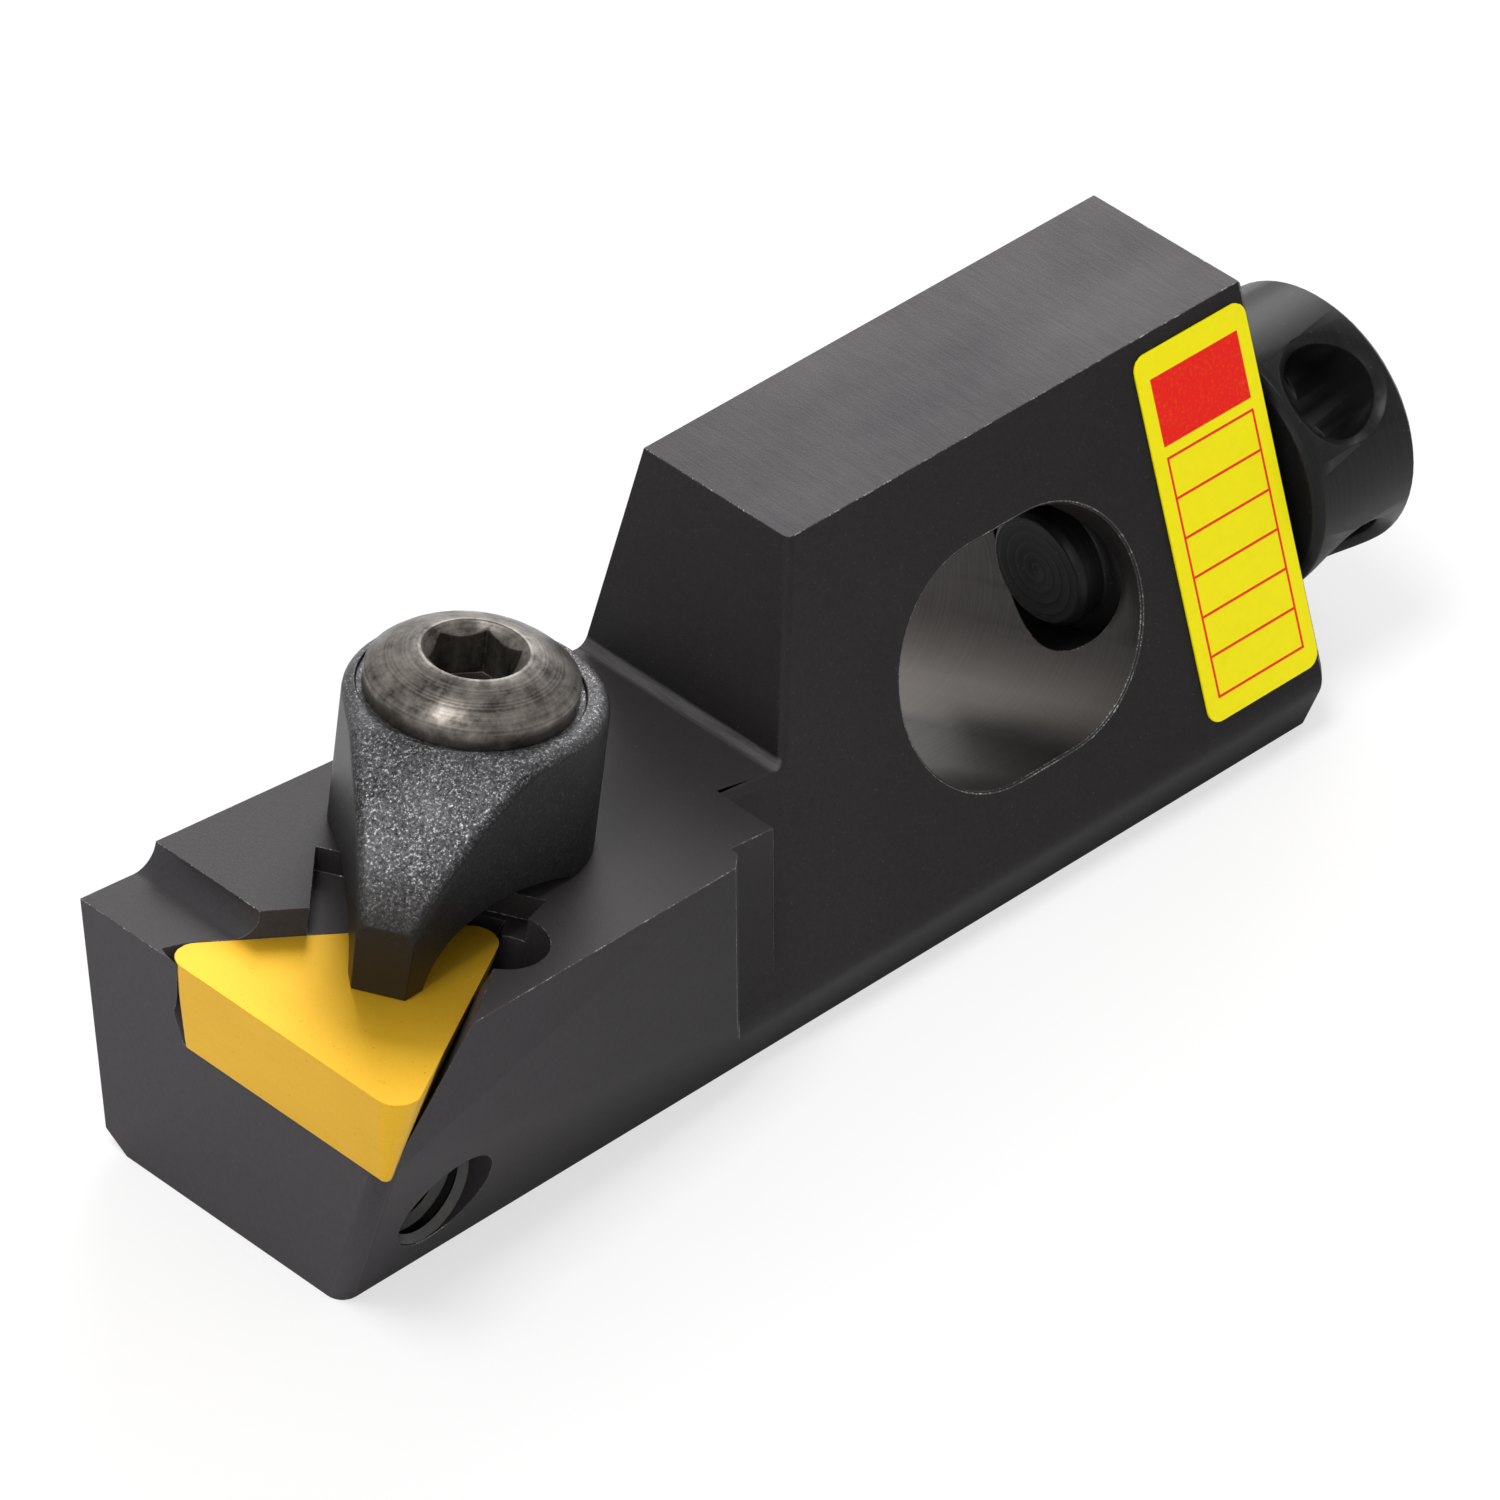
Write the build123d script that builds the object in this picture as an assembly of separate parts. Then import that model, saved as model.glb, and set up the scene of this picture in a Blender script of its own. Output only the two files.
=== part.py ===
from build123d import *
import os
from math import acos, atan2, cos, hypot, radians, sin, sqrt, tan

# A boring-bar cartridge: a steel block with a slanted mounting slot, a clamped triangular insert at
# the front and two adjusting screws.  Millimetres.  While it is modelled, x = 0 is the cutting edge
# and +X points that way, y = 0 is the ground side seat and z = 0 the bottom seat.

# ---- cartridge size -------------------------------------------------------------------------
EDGE_HEIGHT = 10.0          # cutting edge above the bottom seat
EDGE_OFFSET = 14.0          # insert nose from the side seat
BLOCK_HEIGHT = 15.0         # ground top above the bottom seat
BODY_LENGTH = 43.2          # cutting edge to the rear face
BASE_WIDTH = 10.2           # bottom seat, side seat to the lower slanted face
TOP_WIDTH = 6.2             # ground top
SIDE_LEAN = 20.0            # leaning face and lower slanted face, from vertical
BLOCK_FACE_X = 23.1         # cutting edge back to the top of the raised block
BLOCK_FACE_LEAN = 19.9      # front of the raised block, from vertical
FOOT_RADIUS = 0.45          # root fillet where that face meets the clamp platform
SEAT_CHAMFER_Y = 0.86       # chamfer between the two seats
SEAT_CHAMFER_Z = 0.65
EDGE_BREAK = 0.18           # small chamfer on the machined edges
REAR_BREAK = 0.4            # rear face edges
RIDGE_RADIUS = 1.2          # where the leaning face meets the lower slanted one
BLOCK_EDGE_RADIUS = 0.3     # front of the block to the leaning face

# ---- insert -----------------------------------------------------------------------------------
INSCRIBED = 6.35            # inscribed circle
INSERT_THICK = 3.18
INSERT_RELIEF = 11.0
INSERT_RADIUS = 0.8
RAKE = 6.0                  # insert top leans back from the edge

# ---- front part -------------------------------------------------------------------------------
PLATFORM_RISE = 0.85        # clamp platform above the insert top, parallel to it
STRIP_LENGTH = 2.15         # front strip level with the insert top
STRIP_RADIUS = 0.8          # hollow between the strip and the platform
FRONT_RELIEF = 6.5          # front face under the edge
FRONT_CORNER_RADIUS = 0.6
SIDE_Y = 12.78              # flared side at the cutting edge
SIDE_FLARE = 5.2            # flare of that side along X
NECK_Y = 10.5               # short neck behind the flared side
NECK_FRONT_X = 16.6         # cutting edge back to the neck
NECK_REAR_X = 18.4          # and to its end
NECK_LEAN = 3.3             # these cuts lean back towards the bottom
NECK_BEVEL = 0.6            # run of the bevel between the flared side and the neck
NECK_BEVEL_Y = 0.3          # its inner end out from the neck
CORNER_RELIEF_R = 1.5       # hole at the pocket's inner corner
CORNER_RELIEF_SHIFT = 2.25  # its axis from the insert corner, towards the nose
CORNER_RELIEF_SIDE = 0.2    # and out from the insert's edge
WALL_OPENING = 4.0          # pocket wall at the nose side turns away from the insert
WALL_LEAN = 21.6            # and leans out above it
NOTCH_LENGTH = 5.5          # notch for the clamp nose, back from the tip
NOTCH_SPREAD = 0.44         # each of its sides widens so much for each unit of length

# ---- mounting slot ----------------------------------------------------------------------------
SLOT_X = 31.1               # cutting edge back to the slot's middle
SLOT_Z = 8.18               # height of its middle on the leaning face
SLOT_R = 3.97
SLOT_TRAVEL = 2.37          # distance between its two end centres
SLOT_BREAK = 0.07

# ---- axial adjusting screw (M6) -----------------------------------------------------------------
AXIAL_Y = 5.3
AXIAL_Z = 7.1
M6_R = 2.70                 # thread drawn at its mean radius
M6_MOUTH_R = 3.05
AXIAL_HEAD_R = 4.5
AXIAL_HEAD_GAP = 0.12       # under the head to the rear face
AXIAL_HEAD_LENGTH = 4.63
AXIAL_HEAD_BREAK = 0.28
AXIAL_LENGTH = 12.65        # point to the end of the head
POINT_R = 1.97              # dog point
POINT_LENGTH = 1.2
POINT_BREAK = 0.2
BAR_HOLE_R = 1.6            # two crossing holes for a bar
BAR_HOLE_BREAK = 0.35
BAR_HOLE_TURN = 52.0        # first hole, from +Y towards +Z

# ---- radial adjusting screw (M4 set screw) ------------------------------------------------------
RADIAL_X = 4.3
RADIAL_Z = 2.9
M4_R = 1.77                 # thread drawn at its mean radius
RADIAL_LENGTH = 8.0
RADIAL_POINT_Y = 0.3        # its point back from the side seat
RADIAL_SOCKET_AF = 2.0
RADIAL_SOCKET_DEPTH = 2.0

# ---- clamp and its screw ------------------------------------------------------------------------
CLAMP_X = 10.8              # cutting edge back to the screw axis, on the platform
CLAMP_Y = 4.72
CLAMP_TURN = 30.5           # nose direction, from +X towards +Y
CLAMP_R = 4.0               # boss
CLAMP_SIDE_SHIFT = 0.18     # boss centre to the nose side of the screw axis
CLAMP_HEIGHT = 5.0
CLAMP_REACH = 8.2           # screw axis to the tip
CLAMP_TIP_WIDTH = 1.66
CLAMP_TIP_LENGTH = 0.75
CLAMP_TIP_HEIGHT = 2.2
CLAMP_TIP_DRAFT = 0.15      # tip leans back towards the top
CLAMP_HEEL_X = 1.2          # flat heel ends so far in front of the screw axis
CLAMP_ARCH = 0.78           # hollow under the nose, above the platform
CLAMP_BULGE = 0.45          # rise of the nose's back above a straight slope
CLAMP_TOP_X = 3.3           # flat top ends so far in front of the screw axis
CLAMP_TOP_RADIUS = 0.45     # blended upper edges
CLAMP_BORE_R = 2.1
HEAD_RECESS_R = 3.45
HEAD_RECESS_DEPTH = 0.15
SCREW_HEAD_R = 3.25
SCREW_RIM = 0.6
SCREW_CROWN = 0.87
SCREW_SOCKET_AF = 2.5
SCREW_SOCKET_R = 1.62       # bevelled mouth of the socket
SCREW_SOCKET_DEPTH = 1.7
SCREW_LENGTH = 12.0         # under the head
SCREW_POINT_BREAK = 0.4
TAPPED_DEPTH = 8.6
RING_R = 2.7
RING_THICK = 0.6
RING_GROOVE_R = 1.4
RING_GAP_ANGLE = 60.0
RING_RECESS_R = 2.95
RING_RECESS_DEPTH = 0.8

# ---- label ---------------------------------------------------------------------------------------
LABEL_REAR_GAP = 0.45       # label's edge to the rear face
LABEL_WIDTH = 4.95
LABEL_LENGTH = 12.5
LABEL_TOP_GAP = 0.55        # label's upper end below the ground top, along the face
LABEL_RADIUS = 0.5
LABEL_THICK = 0.1

# ---- clearances ------------------------------------------------------------------------------------
SEAT_CLEARANCE = 0.01       # insert to its pocket
THREAD_CLEARANCE = 0.04     # radial, between a drawn thread and its hole
HEEL_CLEARANCE = 0.03       # under the clamp's heel
NOSE_CLEARANCE = 0.30       # clamp nose to the notch in the platform
RING_CLEARANCE = 0.05
OVER = 5.0                  # how far a cutter runs past what it cuts

# ---- worked out ------------------------------------------------------------------------------------
INSERT_EDGE = INSCRIBED * sqrt(3)
RAKE_C, RAKE_S = cos(radians(RAKE)), sin(radians(RAKE))
LEAN_T = tan(radians(SIDE_LEAN))
LEAN_C, LEAN_S = cos(radians(SIDE_LEAN)), sin(radians(SIDE_LEAN))
UP = Vector(-RAKE_S, 0, RAKE_C)                     # square to the insert top
ALONG = Vector(RAKE_C, 0, RAKE_S)                   # up the insert top, towards the edge

INSERT_TOP = Plane(
    origin=Vector(0, EDGE_OFFSET - INSERT_EDGE / 2, EDGE_HEIGHT) - ALONG * (INSCRIBED / 2),
    x_dir=ALONG, z_dir=UP)
PLATFORM_Z0 = EDGE_HEIGHT + PLATFORM_RISE / RAKE_C   # height of the platform's plane at x = 0


def platform_z(x):
    """Height of the clamp platform's plane at x."""
    return PLATFORM_Z0 + x * tan(radians(RAKE))


def face_y(z):
    """The leaning face at height z."""
    return TOP_WIDTH + LEAN_T * (BLOCK_HEIGHT - z)


LEANING_FACE = Plane(
    origin=(-SLOT_X, face_y(SLOT_Z), SLOT_Z), x_dir=(1, 0, 0), z_dir=(0, LEAN_C, LEAN_S))
CLAMP_ORIGIN = Vector(-CLAMP_X, CLAMP_Y, platform_z(-CLAMP_X))
CLAMP_TURN_IN_PLANE = atan2(sin(radians(CLAMP_TURN)), cos(radians(CLAMP_TURN)) / RAKE_C)
NOSE_DIR = ALONG * cos(CLAMP_TURN_IN_PLANE) + Vector(0, 1, 0) * sin(CLAMP_TURN_IN_PLANE)
CLAMP_SEAT = Plane(origin=CLAMP_ORIGIN, x_dir=NOSE_DIR, z_dir=UP)

ORIGIN = Vector(-SLOT_X, AXIAL_Y, 0)                 # on the bottom seat, under the mounting slot


def prism_yz(points, x_from, x_to):
    """A straight prism along X from a list of (y, z) corners."""
    face = Plane.YZ * make_face(Polyline(*points, close=True))
    return Pos(x_from, 0, 0) * extrude(face, amount=x_to - x_from, dir=(1, 0, 0))


def prism_xz(points, y_from, y_to):
    """A straight prism along Y from a list of (x, z) corners."""
    wire = Polyline(*[(x, y_from, z) for x, z in points], close=True)
    return extrude(make_face(wire), amount=y_to - y_from, dir=(0, 1, 0))


def neck_prism(points, z_from, z_to):
    """A prism that leans as the neck does; its (x, y) corners are those at the edge's height."""
    lean = tan(radians(NECK_LEAN))
    base = Pos((z_from - EDGE_HEIGHT) * lean, 0, z_from) * make_face(Polyline(*points, close=True))
    return extrude(base, amount=(z_to - z_from) * hypot(1, lean), dir=(lean, 0, 1))


def hexagon(across_flats):
    return RegularPolygon(radius=across_flats / 2, side_count=6, major_radius=False)


def insert_triangle(height, radius=0.0, room=0.0):
    """The insert's outline at a height above its top plane; the relief draws it in below."""
    inset = -height * tan(radians(INSERT_RELIEF)) - room
    outline = RegularPolygon(radius=INSCRIBED - 2 * inset, side_count=3, rotation=180)
    if radius > inset:
        outline = fillet(outline.vertices(), radius - inset)
    return Pos(0, 0, height) * outline


def pocket():
    """Room for the insert: its own relieved walls carried up through the platform."""
    top = PLATFORM_RISE + OVER
    floor = -INSERT_THICK - SEAT_CLEARANCE
    seat = loft(
        [insert_triangle(floor, room=SEAT_CLEARANCE), insert_triangle(top, room=SEAT_CLEARANCE)],
        ruled=True)

    corner = Vector(-INSCRIBED, 0, 0)                # the insert's inner corner
    edge_dir = Vector(1, 0, 0).rotate(Axis.Z, 30)
    edge_out = Vector(1, 0, 0).rotate(Axis.Z, 120)
    relief_at = corner + edge_dir * CORNER_RELIEF_SHIFT + edge_out * CORNER_RELIEF_SIDE
    depth = INSERT_THICK + top
    relief = Pos(relief_at.X, relief_at.Y, top - depth / 2) * Cylinder(CORNER_RELIEF_R, depth)

    def wall_outline(height):
        out = (PLATFORM_RISE * tan(radians(INSERT_RELIEF))
               + (height - PLATFORM_RISE) * tan(radians(WALL_LEAN)))
        run = Vector(1, 0, 0).rotate(Axis.Z, 30 + WALL_OPENING)
        near = corner + edge_out * out
        far = near + run * (INSERT_EDGE + OVER)
        inner = [far - edge_out * INSCRIBED, near - edge_out * (INSCRIBED / 4)]
        return Pos(0, 0, height) * make_face(Polyline(near, far, *inner, close=True))

    opening = loft([wall_outline(floor), wall_outline(top)], ruled=True)
    return INSERT_TOP * (seat + relief), INSERT_TOP * opening


def front_strip():
    """What is cleared above the strip behind the edge, with a hollow up to the platform."""
    back = INSCRIBED / 2 - STRIP_LENGTH - STRIP_RADIUS
    r = STRIP_RADIUS
    profile = (
        Polyline((back, PLATFORM_RISE + OVER), (back, r), close=False)
        + RadiusArc((back, r), (back + r, 0), -r)
        + Polyline((back + r, 0), (OVER + INSCRIBED, 0), (OVER + INSCRIBED, PLATFORM_RISE + OVER),
                   (back, PLATFORM_RISE + OVER)))
    face = Plane(origin=(0, 0, 0), x_dir=(1, 0, 0), z_dir=(0, -1, 0)) * make_face(profile)
    width = 2 * EDGE_OFFSET
    return INSERT_TOP * Pos(0, width / 2, 0) * extrude(face, amount=width, dir=(0, -1, 0))


def cartridge_body():
    """One piece of steel, milled and ground."""
    far = EDGE_OFFSET + OVER
    top = BLOCK_HEIGHT + OVER
    seats = [(0, BLOCK_HEIGHT), (0, SEAT_CHAMFER_Z), (SEAT_CHAMFER_Y, 0), (BASE_WIDTH, 0)]
    ridge_z = (face_y(0) - BASE_WIDTH) / (2 * LEAN_T)
    section = make_face(Polyline(*seats, (face_y(ridge_z), ridge_z), (TOP_WIDTH, BLOCK_HEIGHT), close=True))
    section = fillet(section.vertices().sort_by(Axis.X)[-1], RIDGE_RADIUS)
    bar = Pos(-BODY_LENGTH, 0, 0) * extrude(Plane.YZ * section, amount=BODY_LENGTH, dir=(1, 0, 0))
    bar = chamfer(bar.faces().sort_by(Axis.X)[0].edges(), REAR_BREAK)

    # the front is wider, and steps in to the bar over a short neck
    flare = tan(radians(SIDE_FLARE))
    bevel_x = -NECK_FRONT_X + NECK_BEVEL
    plan = neck_prism(
        [(OVER, 0), (OVER, SIDE_Y + flare * OVER), (bevel_x, SIDE_Y + flare * bevel_x),
         (-NECK_FRONT_X, NECK_Y + NECK_BEVEL_Y), (-NECK_FRONT_X, NECK_Y), (-NECK_REAR_X, NECK_Y),
         (-NECK_REAR_X, 0)], -OVER, top)
    wide = prism_yz([*seats, (BASE_WIDTH + LEAN_T * BLOCK_HEIGHT, BLOCK_HEIGHT)], -BODY_LENGTH, OVER)

    face_t = tan(radians(BLOCK_FACE_LEAN))
    head_x = -BLOCK_FACE_X - face_t * OVER
    rake_t = tan(radians(RAKE))
    foot_x = (-BLOCK_FACE_X + face_t * (BLOCK_HEIGHT - PLATFORM_Z0)) / (1 + face_t * rake_t)
    step = prism_xz(
        [(head_x, top), (foot_x, platform_z(foot_x)), (OVER, platform_z(OVER)), (OVER, top)],
        -OVER, far)
    foot = step.edges().filter_by(Axis.Y).sort_by_distance((foot_x, 0, platform_z(foot_x)))[0]
    step = fillet(foot, FOOT_RADIUS)

    relief_t = tan(radians(FRONT_RELIEF))
    front = prism_xz(
        [(relief_t * OVER, EDGE_HEIGHT + OVER), (-relief_t * (EDGE_HEIGHT + OVER), -OVER),
         (2 * OVER, -OVER), (2 * OVER, EDGE_HEIGHT + OVER)], -OVER, far)

    body = bar + (wide & plan) - step - front
    body = fillet([e for e in body.edges() if is_front_corner(e)], FRONT_CORNER_RADIUS)
    body = fillet([e for e in body.edges() if is_block_edge(e)], BLOCK_EDGE_RADIUS)
    seat, opening = pocket()
    body = body - front_strip() - seat - opening - nose_notch()

    # mounting slot, square to the leaning face, its rim broken there
    through = SlotCenterToCenter(SLOT_TRAVEL, 2 * SLOT_R)
    body -= LEANING_FACE * extrude(through, amount=2 * EDGE_OFFSET, both=True)
    body -= LEANING_FACE * loft(
        [Pos(0, 0, -SLOT_BREAK) * through,
         Pos(0, 0, SLOT_BREAK) * SlotCenterToCenter(SLOT_TRAVEL, 2 * SLOT_R + 4 * SLOT_BREAK)])

    # tapped holes
    bore = M6_R + THREAD_CLEARANCE
    rear = Plane(origin=(-BODY_LENGTH, AXIAL_Y, AXIAL_Z), x_dir=(0, 1, 0), z_dir=(1, 0, 0))
    body -= rear * extrude(Circle(bore), amount=BODY_LENGTH - SLOT_X)
    body -= rear * Pos(0, 0, -EDGE_BREAK) * mouth(bore, M6_MOUTH_R)
    side_bore = M4_R + THREAD_CLEARANCE
    low = Plane(origin=(-RADIAL_X, -OVER, RADIAL_Z), x_dir=(1, 0, 0), z_dir=(0, 1, 0))
    body -= low * extrude(Circle(side_bore), amount=far + OVER)
    body -= CLAMP_SEAT * Pos(0, 0, -TAPPED_DEPTH) * extrude(Circle(side_bore), amount=TAPPED_DEPTH + OVER)
    return body


def is_front_corner(edge):
    """The edge between the front face and the lower slanted face."""
    low, high = sorted((edge @ 0, edge @ 1), key=lambda end: end.Z)
    return abs(low.Z) < 0.01 and abs(low.Y - BASE_WIDTH) < 0.01 and low.X > -3 and high.Z > 2


def is_block_edge(edge):
    """The edge between the front of the raised block and the leaning face."""
    low, high = sorted((edge @ 0, edge @ 1), key=lambda end: end.Z)
    return abs(high.Z - BLOCK_HEIGHT) < 0.01 and abs(high.X + BLOCK_FACE_X) < 0.01 and (
        high.Y > TOP_WIDTH - 0.01 and low.Z < high.Z - 1)


def mouth(r_in, r_out):
    """A bevel cutter that opens a bore of r_in to r_out at its mouth, along +Z."""
    run = r_out - r_in
    return Pos(0, 0, (run + EDGE_BREAK) / 2) * Cone(r_out + EDGE_BREAK, r_in, run + EDGE_BREAK)


def nose_notch():
    """Room in the platform's front edge for the clamp nose, down to the insert top."""
    near = CLAMP_REACH - NOTCH_LENGTH
    half = CLAMP_TIP_WIDTH / 2 + NOSE_CLEARANCE
    spread = half + NOTCH_LENGTH * NOTCH_SPREAD
    outline = Polyline(
        (near, -spread), (CLAMP_REACH + OVER, -half), (CLAMP_REACH + OVER, half), (near, spread),
        close=True)
    return CLAMP_SEAT * Pos(0, 0, -PLATFORM_RISE) * extrude(
        make_face(outline), amount=PLATFORM_RISE + OVER)


def cutting_insert():
    """Pressed and sintered triangle, flat top, relieved sides."""
    top = insert_triangle(0, INSERT_RADIUS)
    bottom = insert_triangle(-INSERT_THICK, INSERT_RADIUS)
    return INSERT_TOP * loft([bottom, top], ruled=True)


def top_clamp():
    """Finger clamp: round boss round the screw and a nose that reaches the insert."""
    tip = CLAMP_TIP_WIDTH / 2

    def tangent(side):
        shift = CLAMP_SIDE_SHIFT
        start = atan2(side * tip - shift, CLAMP_REACH)
        angle = start + side * acos(CLAMP_R / hypot(CLAMP_REACH, side * tip - shift))
        return CLAMP_R * cos(angle), shift + CLAMP_R * sin(angle)

    plan = Pos(0, CLAMP_SIDE_SHIFT) * Circle(CLAMP_R) + make_face(
        Polyline(tangent(1), (CLAMP_REACH, tip), (CLAMP_REACH, -tip), tangent(-1), close=True))
    block = Pos(0, 0, -PLATFORM_RISE) * extrude(plan, amount=PLATFORM_RISE + CLAMP_HEIGHT)

    rear = -CLAMP_R - OVER
    drop = -PLATFORM_RISE
    tip_back = CLAMP_REACH - CLAMP_TIP_LENGTH
    tip_top = (CLAMP_REACH - CLAMP_TIP_DRAFT, drop + CLAMP_TIP_HEIGHT)
    crown = (CLAMP_TOP_X, CLAMP_HEIGHT)
    heel = (CLAMP_HEEL_X, HEEL_CLEARANCE)
    span = tip_back - CLAMP_HEEL_X
    arch = [(CLAMP_HEEL_X + share * span, CLAMP_ARCH * rise)
            for share, rise in ((0.35, 0.9), (0.64, 1.0), (0.85, 0.5))]
    profile = (
        Line((rear, HEEL_CLEARANCE), heel)
        + Spline(heel, *arch, (tip_back, drop))
        + Polyline((tip_back, drop), (CLAMP_REACH, drop), tip_top)
        + SagittaArc(tip_top, crown, -CLAMP_BULGE)
        + Polyline(crown, (rear, CLAMP_HEIGHT), (rear, HEEL_CLEARANCE)))
    face = Plane(origin=(0, 0, 0), x_dir=(1, 0, 0), z_dir=(0, -1, 0)) * make_face(profile)
    width = 2 * CLAMP_R + OVER
    clamp = block & (Pos(0, width / 2, 0) * extrude(face, amount=width, dir=(0, -1, 0)))

    clamp = fillet([e for e in clamp.edges() if is_upper_edge(e)], CLAMP_TOP_RADIUS)
    clamp -= Pos(0, 0, CLAMP_HEIGHT - HEAD_RECESS_DEPTH + OVER / 2) * Cylinder(HEAD_RECESS_R, OVER)
    clamp -= Cylinder(CLAMP_BORE_R, 4 * CLAMP_HEIGHT)
    clamp -= Pos(0, 0, RING_RECESS_DEPTH - OVER / 2) * Cylinder(RING_RECESS_R, OVER)
    return CLAMP_SEAT * clamp


def is_upper_edge(edge):
    """An outline edge of the clamp's top or of its sloping nose, not the crease across it."""
    mid = edge @ 0.5
    outer = hypot(mid.X, mid.Y) > CLAMP_R - 0.5 and abs((edge @ 0).Y - (edge @ 1).Y) > 0.01
    return outer and min((edge @ 0).Z, (edge @ 1).Z) > CLAMP_TIP_HEIGHT - PLATFORM_RISE - 0.01 and (
        mid.X < CLAMP_REACH - 0.3)


def clamp_screw():
    """Low domed screw with a hex socket and a groove for the ring."""
    seat_h = CLAMP_HEIGHT - HEAD_RECESS_DEPTH
    rim_h = seat_h + SCREW_RIM
    crown_h = rim_h + SCREW_CROWN
    point_h = seat_h - SCREW_LENGTH
    groove_top = RING_RECESS_DEPTH - RING_CLEARANCE
    groove_bottom = groove_top - RING_THICK - RING_CLEARANCE
    outline = (
        Polyline((0, point_h), (M4_R - SCREW_POINT_BREAK, point_h), (M4_R, point_h + SCREW_POINT_BREAK),
                 (M4_R, groove_bottom), (RING_GROOVE_R, groove_bottom), (RING_GROOVE_R, groove_top),
                 (M4_R, groove_top), (M4_R, seat_h), (SCREW_HEAD_R, seat_h), (SCREW_HEAD_R, rim_h))
        + ThreePointArc((SCREW_HEAD_R, rim_h), (2.5, rim_h + 0.56), (SCREW_SOCKET_R, crown_h))
        + Polyline((SCREW_SOCKET_R, crown_h), (0, crown_h), (0, point_h)))
    screw = revolve(Plane.XZ * make_face(outline), axis=Axis.Z)
    screw -= Pos(0, 0, crown_h - SCREW_SOCKET_DEPTH) * extrude(hexagon(SCREW_SOCKET_AF), amount=OVER)
    bevel = SCREW_SOCKET_R - SCREW_SOCKET_AF / 2
    screw -= Pos(0, 0, crown_h - bevel / 2) * Cone(SCREW_SOCKET_AF / 2, SCREW_SOCKET_R, bevel)
    return CLAMP_SEAT * screw


def clamp_retaining_ring():
    """Open ring, snapped into the screw's groove under the clamp."""
    ring = Circle(RING_R) - Circle(RING_GROOVE_R + RING_CLEARANCE)
    half = radians(RING_GAP_ANGLE / 2)
    gap = make_face(Polyline(
        (0, 0), (OVER * cos(half), OVER * sin(half)), (OVER * cos(half), -OVER * sin(half)), close=True))
    height = RING_RECESS_DEPTH - 2 * RING_CLEARANCE - RING_THICK + RING_CLEARANCE / 2
    return CLAMP_SEAT * Pos(0, 0, height) * extrude(ring - gap, amount=RING_THICK)


def axial_adjusting_screw():
    """M6 screw with a dog point; a bar through its head turns it."""
    under_head = AXIAL_LENGTH - AXIAL_HEAD_LENGTH
    outline = Polyline(
        (0, 0), (POINT_R - POINT_BREAK, 0), (POINT_R, POINT_BREAK), (POINT_R, POINT_LENGTH - POINT_BREAK),
        (M6_R - POINT_BREAK, POINT_LENGTH), (M6_R, POINT_LENGTH + POINT_BREAK), (M6_R, under_head),
        (AXIAL_HEAD_R - AXIAL_HEAD_BREAK, under_head), (AXIAL_HEAD_R, under_head + AXIAL_HEAD_BREAK),
        (AXIAL_HEAD_R, AXIAL_LENGTH - AXIAL_HEAD_BREAK), (AXIAL_HEAD_R - AXIAL_HEAD_BREAK, AXIAL_LENGTH),
        (0, AXIAL_LENGTH), close=True)
    screw = revolve(Plane.XZ * make_face(outline), axis=Axis.Z)
    middle = under_head + AXIAL_HEAD_LENGTH / 2
    for turn in (-BAR_HOLE_TURN, 90 - BAR_HOLE_TURN):
        screw -= Pos(0, 0, middle) * Rot(0, 0, turn) * Rot(0, 90, 0) * Cylinder(BAR_HOLE_R, 3 * AXIAL_HEAD_R)
    screw = chamfer([e for e in screw.edges() if is_bar_hole_mouth(e)], BAR_HOLE_BREAK)
    point_x = -BODY_LENGTH - AXIAL_HEAD_GAP + under_head
    place = Plane(origin=(point_x, AXIAL_Y, AXIAL_Z), x_dir=(0, 1, 0), z_dir=(-1, 0, 0))
    return place * screw


def is_bar_hole_mouth(edge):
    """Where a bar hole comes out through the side of the round head."""
    return edge.geom_type != GeomType.CIRCLE and all(
        abs(hypot((edge @ at).X, (edge @ at).Y) - AXIAL_HEAD_R) < 0.01 for at in (0, 0.3, 0.7))


def radial_adjusting_screw():
    """M4 socket set screw, turned from the slanted side."""
    screw = Pos(0, 0, RADIAL_LENGTH / 2) * Cylinder(M4_R, RADIAL_LENGTH)
    screw = chamfer(screw.edges().group_by(Axis.Z)[0], SCREW_POINT_BREAK)
    screw = chamfer(screw.edges().group_by(Axis.Z)[-1], EDGE_BREAK)
    screw -= Pos(0, 0, RADIAL_LENGTH - RADIAL_SOCKET_DEPTH) * extrude(hexagon(RADIAL_SOCKET_AF), amount=OVER)
    place = Plane(origin=(-RADIAL_X, RADIAL_POINT_Y, RADIAL_Z), x_dir=(1, 0, 0), z_dir=(0, 1, 0))
    return place * screw


def stock_label():
    """Thin printed film, stuck to the leaning face."""
    top_along = (BLOCK_HEIGHT - SLOT_Z) / LEAN_C - LABEL_TOP_GAP
    middle_x = SLOT_X - BODY_LENGTH + LABEL_REAR_GAP + LABEL_WIDTH / 2
    sheet = RectangleRounded(LABEL_WIDTH, LABEL_LENGTH, LABEL_RADIUS)
    return LEANING_FACE * Pos(middle_x, -top_along + LABEL_LENGTH / 2, 0) * extrude(sheet, amount=LABEL_THICK)


PIECES = (
    cartridge_body, cutting_insert, top_clamp, clamp_screw, clamp_retaining_ring,
    axial_adjusting_screw, radial_adjusting_screw, stock_label)

os.makedirs("parts", exist_ok=True)
for make in PIECES:
    piece = Pos(*(-ORIGIN)) * make()
    export_step(piece, f"parts/{make.__name__}.step")
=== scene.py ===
import math

import bmesh
import bpy
from mathutils import Matrix, Vector


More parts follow.
